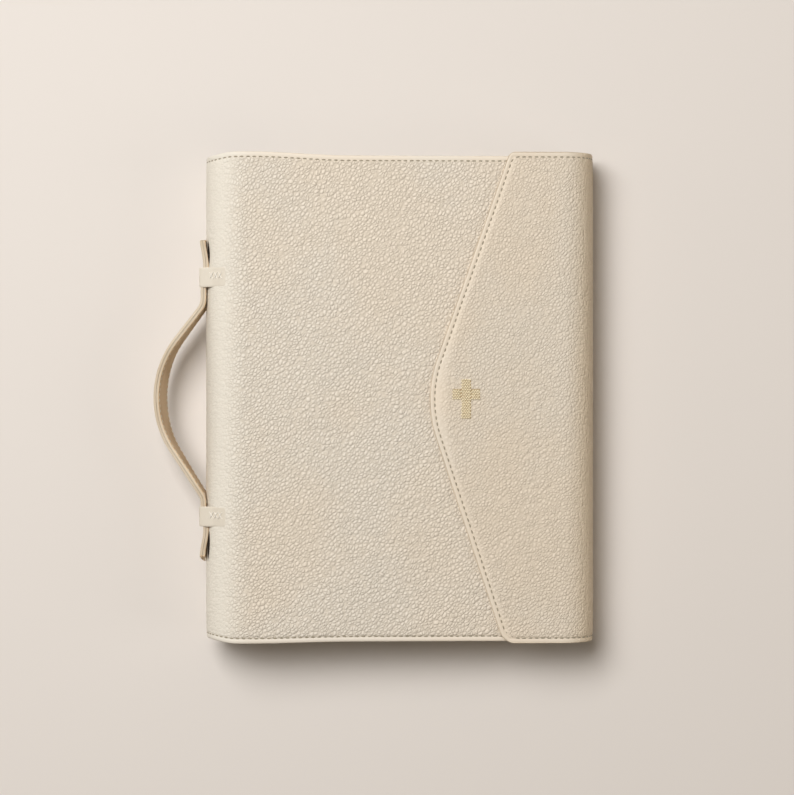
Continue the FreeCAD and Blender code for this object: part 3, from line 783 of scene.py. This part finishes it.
def make_front_lining():
    """The suede inside the front panel and the upper spine, sunk over the stiffener."""
    s, y, d = front_grid()
    s = np.minimum(s, FRONT_LONG - 0.8)
    y = y * (1.0 - LINING_IN / HALF_TALL)
    back_face = tuck(d, smooth((front_path(s)[0] - SPINE_X - 3.0) / 8.0))
    outer = place(front_path, s, y, back_face - 0.15 * edge_roll(d, LINING))
    inner = place(front_path, s, y, back_face - LINING + edge_roll(d, LINING))
    piece = shell("front_cover_lining", outer, inner, [SUEDE])
    return finish_piece(piece, ("front_lining",), FRONT_BLEND)


def make_wrap_lining(name, s0, s1, step, nodes, motion):
    """A plain stretch of the wrap's suede lining."""
    s, y, d = wrap_grid(s0, s1, step)
    y = y * (1.0 - LINING_IN / HALF_TALL)
    back_face = tuck(d, board_gap(s))
    outer = place(wrap_path, s, y, back_face)
    inner = place(wrap_path, s, y, back_face - LINING + edge_roll(d, LINING))
    piece = shell(name, outer, inner, [SUEDE])
    return finish_piece(piece, nodes, motion)


def make_flap_lining():
    """The suede inside the gusset's upper part and the flap, a little smaller than the hide."""
    s, y, d = flap_grid(SEAM_S, 0.8, 2.2)
    outer = place(wrap_path, s, y, -FLAP_LEATHER - 0.05 + 0.0 * s)
    inner = place(wrap_path, s, y, -flap_depth(s) + edge_roll(d, 1.6))
    piece = shell("flap_suede_lining", outer, inner, [SUEDE])
    return finish_piece(piece, ("flap_lining", "flap_turn_lining"), FLAP_BLEND)


make_front_leather()
make_wrap_leather("back_and_lower_spine_hide", 0.0, BACK_SEAM, 2.0, ("back_cover_leather", "spine_leather"),
                  "back_cover")
make_wrap_leather("gusset_hide", BACK_SEAM, SEAM_S, 0.7, ("fore_edge_gusset",), GUSSET_BLEND)
make_flap_leather()
make_front_lining()
make_wrap_lining("back_and_lower_spine_lining", 0.0, BACK_SEAM, 2.5, ("back_lining", "spine_lining"),
                 "back_cover")
make_wrap_lining("gusset_suede_lining", BACK_SEAM, SEAM_S, 0.9, ("gusset_lining",), GUSSET_BLEND)
make_flap_lining()


# ---- stitches ----------------------------------------------------------------------------------
BEAD_U = np.array([-1.0, -0.88, -0.45, 0.0, 0.45, 0.88, 1.0])


def beads(name, spine, across, up, wide, high, material):
    """One mesh of short thread stitches. Each has a spine of seven points, pointed at both ends, and a
    flattened round section that swells in the middle."""
    count = len(spine)
    around = np.arange(6) * math.pi / 3
    girth = np.sqrt(1.0 - BEAD_U[1:-1] ** 4)[None, :, None, None]
    ring = spine[:, 1:-1, None] + girth * (
        across[:, None, None] * (np.cos(around) * wide / 2)[:, None]
        + up[:, None, None] * (np.sin(around) * high / 2)[:, None])
    points = np.concatenate([spine[:, :1], ring.reshape(count, 30, 3), spine[:, -1:]], axis=1)
    k = np.arange(6)
    nxt = (k + 1) % 6
    quads = grid_faces(5, 6, wrap=True) + 1
    caps = np.concatenate([np.stack([0 * k, 1 + nxt, 1 + k], -1),
                           np.stack([0 * k + 31, 25 + k, 25 + nxt], -1)])
    if np.dot(np.cross(points[0, quads[0, 1]] - points[0, quads[0, 0]], points[0, quads[0, 2]]
                       - points[0, quads[0, 0]]), points[0, quads[0, 0]] - spine[0, 1]) < 0:
        quads = quads[:, ::-1]
    if np.dot(np.cross(points[0, caps[0, 1]] - points[0, 0], points[0, caps[0, 2]] - points[0, 0]),
              points[0, 0] - spine[0, 3]) < 0:
        caps = caps[:, ::-1]
    base = (np.arange(count) * 32)[:, None, None]
    return write_mesh(name, points, [(quads + base).reshape(-1, 4), (caps + base).reshape(-1, 3)], [material])


def thread_line(s, y):
    """Places a stitch apart along a line in (distance, height), a little uneven, with the unit direction
    at each, taken from the line a millimetre before and after."""
    step = np.hypot(np.diff(s), np.diff(y))
    length = np.concatenate([[0.0], np.cumsum(step)])
    at = np.arange(STITCH_PITCH / 2, length[-1] - STITCH_PITCH / 3, STITCH_PITCH)
    at = at + rng.normal(0.0, 0.05, len(at))
    mid_s, mid_y = np.interp(at, length, s), np.interp(at, length, y)
    ds = np.interp(at + 1.0, length, s) - np.interp(at - 1.0, length, s)
    dy = np.interp(at + 1.0, length, y) - np.interp(at - 1.0, length, y)
    turn = np.arctan2(dy, ds) + rng.normal(0.0, 0.05, len(at))
    return mid_s, mid_y, np.cos(turn), np.sin(turn)


def sew(name, path, line, lift, face, motion, material=STITCH_THREAD, long=STITCH_LONG, wide=0.78, high=0.46):
    """Stitches on one face of a sheet: face 1 is its outside, -1 its inside. Their ends sink in."""
    s, y, ds, dy = line
    u = BEAD_U[None, :] * long / 2
    off = np.broadcast_to(lift, s.shape)[:, None] + face * (0.16 * (1.0 - BEAD_U[None, :] ** 2) - 0.05)
    spine = place(path, s[:, None] + ds[:, None] * u, y[:, None] + dy[:, None] * u, off)
    nx, nz = path(s)[2:]
    up = np.stack([nx, 0.0 * nx, nz], -1) * face
    along = spine[:, -1] - spine[:, 0]
    across = np.cross(up, along / np.linalg.norm(along, axis=1)[:, None])
    return finish_piece(beads(name, spine, across, up, wide, high, material), (), motion)


def joined(*legs):
    """One line in (distance, height) from several legs, each a pair of arrays."""
    return np.concatenate([leg[0] for leg in legs]), np.concatenate([leg[1] for leg in legs])


def front_stitch_line():
    """Along the head, down the fore edge and back along the tail, a stitch line in from the rim."""
    s = np.linspace(1.0, FRONT_LONG - STITCH_IN - 1.5, 400)
    top, bottom = front_reach(s)
    far = FRONT_LONG - STITCH_IN
    y = np.linspace(top[-1] - STITCH_IN - 1.5, -bottom[-1] + STITCH_IN + 1.5, 200)
    return joined((s, top - STITCH_IN), (np.full_like(y, far), y), (s[::-1], -bottom[::-1] + STITCH_IN))


def flap_stitch_line():
    """Along the head from the gusset's seam, down the flap's edge and back along the tail."""
    reach = FLAP_TALL - STITCH_IN
    y = np.linspace(reach - 0.01, -reach + 0.01, 500)
    far = flap_reach(y, STITCH_IN)
    top = np.linspace(SEAM_S + 1.0, far[0], 120)
    low = np.linspace(far[-1], SEAM_S + 1.0, 120)
    return joined((top, np.full_like(top, reach)), (far, y), (low, np.full_like(low, -reach)))


line = thread_line(*front_stitch_line())
lift = front_lift(line[0], line[1], np.full_like(line[0], STITCH_IN))
sew("front_cover_stitches", front_path, line, lift, 1, FRONT_BLEND)
inside = tuck(STITCH_IN, 1.0 - smooth((SPINE_ARC + 8.0 - line[0]) / 8.0)) - LINING
sew("front_cover_inside_stitches", front_path, line, inside, -1, FRONT_BLEND)

line = thread_line(*flap_stitch_line())
lift = flap_lift(line[0], line[1], np.full_like(line[0], STITCH_IN))
sew("flap_stitches", wrap_path, line, lift, 1, FLAP_BLEND)
sew("flap_inside_stitches", wrap_path, line, -flap_depth(line[0]), -1, FLAP_BLEND)


def wrap_stitches(name, s0, s1, motion):
    """Top and bottom stitch lines of a stretch of the wrap, on both faces."""
    s = np.linspace(s0, s1, 300)
    reach = back_reach(s) - STITCH_IN
    for end, sign in (("head", 1.0), ("tail", -1.0)):
        line = thread_line(s, sign * reach)
        d = np.full_like(line[0], STITCH_IN)
        sew(name + "_stitches_" + end, wrap_path, line, back_lift(line[0], line[1], d) + 0.04, 1, motion)
        inside = tuck(d, board_gap(line[0])) - LINING
        sew(name + "_inside_stitches_" + end, wrap_path, line, inside, -1, motion)


wrap_stitches("back_cover", 1.0, BACK_SEAM, "back_cover")
wrap_stitches("gusset", BACK_SEAM + 1.0, SEAM_S, GUSSET_BLEND)


# ---- strap handle and its keepers --------------------------------------------------------------
def strap_route(reach, bow_r, slope, bend_r):
    """Plan of half the strap's outside face, from the middle of the bow: an arc of radius bow_r, a straight
    run at that slope, a bend of radius bend_r beside the keeper, then a tail up to reach."""
    a = math.radians(slope)
    run = (STRAP_FLAT - BOW_APEX - (bow_r + bend_r) * (1.0 - math.cos(a))) / math.sin(a)
    tail = reach - (bow_r + bend_r) * math.sin(a) - run * math.cos(a)
    return route((BOW_APEX, 0.0), 90.0, 1, ("turn", bow_r, -slope), ("go", run), ("turn", bend_r, slope),
                 ("go", tail))


STRAP_ENDS = {"upper": (1.0, strap_route(82.0, 51.0, 37.0, 8.0)),
              "lower": (-1.0, strap_route(85.0, 52.0, 32.5, 5.0))}
STRAP_SLANT = {"upper": 1.5, "lower": 3.4}       # the end of each tail is cut this far off square


def strap_place(end, s, z, off):
    """A point of the strap: distance s from the bow's middle, height z, off outside its outer face. It is
    pressed in under the keeper and springs out past it. The bow hangs: it turns down about the swing
    axis, fully in the middle and not at all at the keepers."""
    sign, path = STRAP_ENDS[end]
    x, y, nx, ny = path(s)
    off = off - 1.3 * smooth((y - 55.0) / 11.0) + 1.8 * smooth((y - 68.0) / 14.0)
    x, y = x + nx * off + 0.0 * z, y + ny * off + 0.0 * z
    lean = -math.radians(DROOP) * (1.0 - smooth(y / 54.0))
    rx, rz = x - SWING_X, z - SPINE_R + 0.0 * x
    return np.stack([SWING_X + rx * np.cos(lean) + rz * np.sin(lean), sign * y,
                     SPINE_R - rx * np.sin(lean) + rz * np.cos(lean)], -1)


def strap_grid(end, bite=0.0):
    """Distances, heights and distances to the edge of half the strap, less bite all round, with its far
    end cut aslant."""
    path = STRAP_ENDS[end][1]
    s = stations(0.0, path.length, False, True, 1.3)[:, None]
    z = stations(-STRAP_W / 2 + bite, STRAP_W / 2 - bite, True, True, 2.0)[None, :]
    trim = corner_trim(z, STRAP_W / 2 - bite, STRAP_W / 2 - bite, 0.8)
    short = trim + STRAP_SLANT[end] * (z / STRAP_W + 0.5)
    s = s - short * smooth((s - path.length + 8.0) / 8.0)
    d = np.maximum(np.minimum(STRAP_W / 2 - bite - np.abs(z), path.length - short - s), 0.0)
    return s, z + SPINE_R, d


def strap_roll(d):
    """How far the strap's burnished edge falls away at distance d from the rim: a quarter round."""
    t = np.clip(1.0 - d / 0.55, 0.0, 1.0)
    return 0.34 * (1.0 - np.sqrt(np.maximum(1.0 - t * t, 0.0)))


def strap_motion(end):
    """Bodies and points of a bend beside the keeper, from the back cover to the swinging bow."""
    sign = STRAP_ENDS[end][0]
    return ("back_cover", "handle", metres(SWING_X, SPINE_R, sign * 54.0),
            metres(SWING_X, SPINE_R, sign * 42.0))


def strap_ply(end, side, bite, outside, inside, slots, nodes):
    """One ply of half the strap. Outside and inside give each face's place from the rolled edge and the
    pressed crease beside it."""
    s, z, d = strap_grid(end, bite)
    crease = 0.10 * np.exp(-((d - STRAP_CREASE) / 0.3) ** 2)
    roll = strap_roll(d)
    piece = shell(f"{end}_strap_{side}_ply", strap_place(end, s, z, outside(roll, crease)),
                  strap_place(end, s, z, inside(roll, crease)), [STRAP_SKIN, FLESH_SIDE_WITH_PAINTED_LIGHT], slots)
    finish_piece(piece, nodes, strap_motion(end))


for end_name, cut in (("upper", 0), ("lower", 1)):
    strap_ply(end_name, "outer", 0.0, lambda roll, crease: -roll - crease,
              lambda roll, crease: -PLY + 0.02 + 0.25 * roll, (0, 0, 0, cut),
              ("handle_strap_outer", end_name + "_strap_end"))
    strap_ply(end_name, "inner", 0.12, lambda roll, crease: -PLY - 0.02 - 0.25 * roll,
              lambda roll, crease: -2 * PLY + roll + crease, (0, 1, 0, cut),
              ("handle_strap_inner",))


def strap_stitches(end, face):
    """Two rows of stitches along a strap half, on its outer or inner face."""
    s = np.arange(1.5, STRAP_ENDS[end][1].length - 2.0, 2.9)
    s = np.concatenate([s, s]) + rng.normal(0.0, 0.04, 2 * len(s))
    z = np.where(np.arange(len(s)) < len(s) // 2, 8.1, -8.1) + SPINE_R
    u = BEAD_U[None, :] * 0.95
    base = -0.08 if face > 0 else -2 * PLY + 0.08
    off = base + face * (0.15 * (1.0 - BEAD_U[None, :] ** 2) - 0.04)
    spine = strap_place(end, s[:, None] + u, z[:, None] + 0.0 * u, off)
    lifted = strap_place(end, s, z, base + face * 1.0)
    up = lifted - strap_place(end, s, z, base + 0.0 * s)
    along = spine[:, -1] - spine[:, 0]
    across = np.cross(up, along / np.linalg.norm(along, axis=1)[:, None])
    side = "outer" if face > 0 else "inner"
    piece = beads(end + "_strap_stitches_" + side, spine, across, up, 0.5, 0.36, PALE_THREAD)
    return finish_piece(piece, (), strap_motion(end))


for end_name in STRAP_ENDS:
    strap_stitches(end_name, 1)
    strap_stitches(end_name, -1)


def make_tail_shadow_patch(name, y_mid, y_half):
    """A painted shadow beside a strap's tail: a near-black patch just above the spine's hide with a lens
    outline, standing for the deep shade between the strap and the curving spine. Its half width is the cosine
    of its place along the patch. It leans away from the strap at the keeper."""
    along = np.linspace(-1.0, 1.0, 25)[:, None]
    across = np.linspace(-1.0, 1.0, 9)[None, :]
    s = TAIL_SHADOW_S - TAIL_SHADOW_LEAN * along * np.sign(y_mid) + across * TAIL_SHADOW_HALF * np.cos(along * math.pi / 2)
    y = y_mid + along * y_half + 0.0 * across
    skin = front_lift(s, y, np.full(s.shape, 40.0))
    patch = shell(name, place(front_path, s, y, skin + 0.06), place(front_path, s, y, skin - 0.4),
                  [TAIL_SHADOW_PAINT])
    return finish_piece(patch, (), "back_cover")


# Painted shadow patches beside the upper and the lower strap tail.
make_tail_shadow_patch("upper_strap_painted_shadow", 74.4, 6.4)
make_tail_shadow_patch("lower_strap_painted_shadow", -76.0, 7.8)

LOOP_T = 1.2
LOOP_R = SPINE_R + LOOP_T / 2
LOOP_START = math.radians(118.0)
LOOP_SIDE = (("turn", LOOP_R, 22.0), ("turn", 4.0, -24.0), ("go", 5.9), ("turn", 1.6, 64.0))
loop_path = route((SPINE_X + LOOP_R * math.cos(LOOP_START), SPINE_R + LOOP_R * math.sin(LOOP_START)),
                  208.0, -1, *LOOP_SIDE, ("go", 17.6), *LOOP_SIDE[::-1])


def loop_lift(s):
    """Outside of a keeper over its path: pared thin where it is sewn to the spine."""
    from_end = loop_path.length / 2 - np.abs(s - loop_path.length / 2)
    return -0.30 + 0.35 * smooth((from_end - 6.0) / 5.0)


def keeper(name, low, high):
    """A keeper loop between two heights, and at each of its sewn ends three crossed pairs of stitches."""
    half = (high - low) / 2
    middle = (high + low) / 2
    half_long = loop_path.length / 2
    s = stations(0.0, loop_path.length, True, True, 0.8)[:, None]
    y = stations(-half, half, False, False, 0.5)[None, :]
    reach = half_long - corner_trim(y, half, half, 1.6)
    s = half_long + (s - half_long) * reach / half_long
    d = np.maximum(np.minimum(half - np.abs(y), reach - np.abs(s - half_long)), 0.0)
    band = shell(name + "_leather", place(loop_path, s, y + middle, loop_lift(s) - 0.8 * strap_roll(d)),
                 place(loop_path, s, y + middle, -0.65 + 0.0 * d), [KEEPER_SKIN])
    finish_piece(band, (name + "_loop",), "back_cover")
    marks = np.add.outer([6.4, loop_path.length - 6.4], [-3.1, 0.0, 3.1]).repeat(2)
    lean = np.tile([0.95, -0.95], len(marks) // 2)
    line = (marks, np.full(len(marks), middle + 0.8), np.cos(lean), np.sin(lean))
    sew(name + "_cross_stitches", loop_path, line, loop_lift(marks) + 0.10, 1, "back_cover", PALE_THREAD,
        long=4.6, wide=0.5, high=0.6)


for end_name, (low, high) in LOOP_SPANS.items():
    keeper(end_name + "_keeper", low, high)


# ---- embroidered cross -------------------------------------------------------------------------
def flap_place_of(x):
    """Distance along the wrap path of a place on the flap at x."""
    return FLAP_FLAT + (flap_start_x - x) / math.cos(tilt)


CROSS_POST = (31.6, 36.3, -10.7, 9.2)
CROSS_ARMS = (27.0, 40.8, -1.0, 4.4)


def cross_pad():
    """The low padded ground under the cross's stitches."""
    left, right, low, high = CROSS_POST
    west, east, under, over = CROSS_ARMS
    x = np.array([left, left, west, west, left, left, right, right, east, east, right, right])
    y = np.array([low, under, under, over, over, high, high, over, over, under, under, low])
    s = flap_place_of(x)
    points = np.concatenate([place(wrap_path, s, y, 0.42 + 0.0 * s), place(wrap_path, s, y, -0.2 + 0.0 * s)])
    ring = np.arange(12)
    sides = np.stack([np.roll(ring, -1), ring, ring + 12, np.roll(ring, -1) + 12], -1)
    piece = write_mesh("cross_ground", points, [ring[None, :], ring[None, ::-1] + 12, sides], [CROSS_GROUND])
    return finish_piece(piece, ("cross_emblem",), "flap")


def cross_rows(west, east, low, high, pitch=1.22, row=0.84):
    """Short stitches across a rectangle in rows, each row shifted by half a stitch."""
    y = np.arange(low + row / 2, high, row)
    x = np.arange(west, east + pitch, pitch)
    grid_x, grid_y = np.meshgrid(x, y)
    grid_x = grid_x + (np.arange(len(y)) % 2)[:, None] * pitch / 2
    keep = (grid_x < east + 0.1) & (grid_x > west - 0.1)
    return grid_x[keep], grid_y[keep]


cross_pad()
blocks = [cross_rows(*CROSS_POST), cross_rows(CROSS_ARMS[0], CROSS_POST[0] - 0.5, *CROSS_ARMS[2:]),
          cross_rows(CROSS_POST[1] + 0.5, *CROSS_ARMS[1:])]
x = np.concatenate([b[0] for b in blocks])
y = np.concatenate([b[1] for b in blocks]) + rng.normal(0.0, 0.04, len(x))
wild = rng.normal(0.0, 0.10, len(x))
sew("cross_stitches", wrap_path, (flap_place_of(x), y, np.cos(wild), np.sin(wild)), 0.50, 1, "flap",
    CROSS_THREAD, long=1.02, wide=0.66, high=0.50)


# ---- pages -------------------------------------------------------------------------------------
PAGE_HALF = node_box("text_block")[1][1]
PAGE_X0 = node_box("text_block")[0][0]
PAGE_X1 = node_box("text_block")[1][0]
GUTTER = node_box("first_leaves")[0][0]


def leaf_grid(step_x, step_y):
    """Distances along the front path and heights over the pages, with the fore edge corners rounded."""
    x = stations(PAGE_X0, PAGE_X1, True, True, step_x)[:, None]
    y = stations(-PAGE_HALF, PAGE_HALF, True, True, step_y)[None, :]
    x = x - corner_trim(y, PAGE_HALF, PAGE_HALF, PAGE_CORNER) * smooth((x - PAGE_X1 + 12.0) / 12.0)
    return SPINE_ARC + (x - SPINE_X) / math.cos(tilt) + 0.0 * y, y


def leaf_block(name, node, body, top, bottom):
    """A block of leaves parallel to the front cover, between two depths below the cover's outside. Its cut
    edges carry the field leaf_level."""
    s, y = leaf_grid(2.2, 5.0)
    levels = (np.full(s.shape, -top), np.full(s.shape, -bottom))
    piece = shell(name, place(front_path, s, y, -top), place(front_path, s, y, -bottom), [PAGES, PAGE_EDGES],
                  (0, 0, 1, 1), leaf_level=levels)
    return finish_piece(piece, (node,), leaf_motion(body))


def leaf_motion(body):
    """Bodies and points of the leaves' bend between the binding and the start of the loose groups."""
    return ("back_cover", body, metres(PAGE_X0 + 1.0, 36.0), metres(GUTTER + 2.0, 36.0))


LEAF_STACK = (("flyleaf", "front_endpaper", "first_leaf_group", 6.05, 6.35),
              ("first_leaves_block", "first_leaves", "first_leaf_group", 6.60, 8.70),
              ("second_leaves_block", "second_leaves", "second_leaf_group", 8.95, 11.55),
              ("third_leaves_block", "third_leaves", "third_leaf_group", 11.80, 14.90))
for row in LEAF_STACK:
    leaf_block(*row)


def make_text_block():
    """The rest of the pages: sloped above like the cover, flat below."""
    s, y = leaf_grid(4.0, 6.0)
    outer = place(front_path, s, y, np.full(s.shape, TEXT_BLOCK_TOP))
    inner = outer.copy()
    inner[..., 2] = TEXT_BLOCK_BOTTOM
    levels = (np.full(s.shape, TEXT_BLOCK_TOP), np.full(s.shape, LAST_LEAF_LEVEL))
    piece = shell("text_block_pages", outer, inner, [PAGES, PAGE_EDGES], (0, 0, 1, 1), leaf_level=levels)
    return finish_piece(piece, ("text_block",), "back_cover")


make_text_block()

sheet_x = stations(PAGE_X0, 14.0, False, False, 2.0)[:, None]
sheet_y = stations(-PAGE_HALF, PAGE_HALF, False, False, 8.0)[None, :]
sheet_s = SPINE_ARC + (sheet_x - SPINE_X) / math.cos(tilt) + 0.0 * sheet_y
pastedown = shell("front_pastedown", place(front_path, sheet_s, sheet_y, -5.02 + 0.0 * sheet_s),
                  place(front_path, sheet_s, sheet_y, -5.20 + 0.0 * sheet_s), [ENDPAPER])
finish_piece(pastedown, (), ("back_cover", "front_cover", metres(PAGE_X0 + 0.5, 37.0),
                                         metres(PAGE_X0 + 13.0, 37.0)))


# ---- finishes of the CAD nodes that stay visible -----------------------------------------------
NODE_FINISH = {
    "back_stiffener": CARD, "front_stiffener": CARD, "flap_stiffener": CARD,
    "back_sleeve_pocket": SUEDE, "front_sleeve_pocket": SUEDE,
    "bible_back_board": BINDING, "bible_front_board": BINDING, "bible_spine": BINDING,
    "back_endpaper": ENDPAPER, "head_band": BAND_THREAD, "tail_band": BAND_THREAD,
    "cover_magnet_upper": PLATED, "cover_magnet_lower": PLATED,
    "flap_magnet_upper": PLATED, "flap_magnet_lower": PLATED,
}
for node, material in NODE_FINISH.items():
    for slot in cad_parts[node].material_slots:
        slot.link = "OBJECT"
        slot.material = material


# ---- floor, light and camera -------------------------------------------------------------------
floor_mesh = bpy.data.meshes.new("floor")
FLOOR_HALF = 8.0
FLOOR_Z = -0.0003
corners = [(x * FLOOR_HALF, y * FLOOR_HALF, FLOOR_Z) for x, y in ((-1, -1), (1, -1), (1, 1), (-1, 1))]
floor_mesh.from_pydata(corners, [], [(0, 1, 2, 3)])
floor = bpy.data.objects.new("floor", floor_mesh)
bpy.context.scene.collection.objects.link(floor)
floor_mesh.materials.append(new_material("pale_floor", (0.725, 0.678, 0.632), 0.9, Specular_IOR_Level=0.1)[0])


def area_light(name, at, aim, size, power, colour):
    """A square area light that faces a point."""
    lamp = bpy.data.lights.new(name, "AREA")
    lamp.energy = power
    lamp.size = size
    lamp.color = colour
    holder = bpy.data.objects.new(name, lamp)
    holder.location = at
    away = np.array(at) - np.array(aim)
    flat = math.hypot(away[0], away[1])
    holder.rotation_euler = (math.atan2(flat, away[2]), 0.0, math.atan2(away[1], away[0]) + math.pi / 2)
    bpy.context.scene.collection.objects.link(holder)


area_light("key_light", (-0.50, 0.58, 1.55), (0.0, 0.0, 0.0), 0.92, 30.5, (1.0, 1.0, 1.005))
area_light("side_fill", (1.5, -0.3, 0.9), (0.0, 0.0, 0.0), 0.8, 3.6, (1.0, 0.98, 0.95))
area_light("spine_fill", (-1.6, 0.2, 0.45), (0.0, 0.0, 0.0), 0.8, 1.4, (1.0, 0.98, 0.95))
world = bpy.data.worlds.new("studio")
world.use_nodes = True
world.node_tree.nodes["Background"].inputs["Color"].default_value = (1.0, 0.80, 0.56, 1.0)
world.node_tree.nodes["Background"].inputs["Strength"].default_value = 0.138
bpy.context.scene.world = world
bpy.context.scene.view_settings.view_transform = "Standard"

camera = bpy.data.cameras.new("camera")
camera.lens = 107.0
camera.sensor_width = 36.0
camera_holder = bpy.data.objects.new("camera", camera)
camera_holder.location = (-0.0013, 0.0, 1.241)
bpy.context.scene.collection.objects.link(camera_holder)
bpy.context.scene.camera = camera_holder
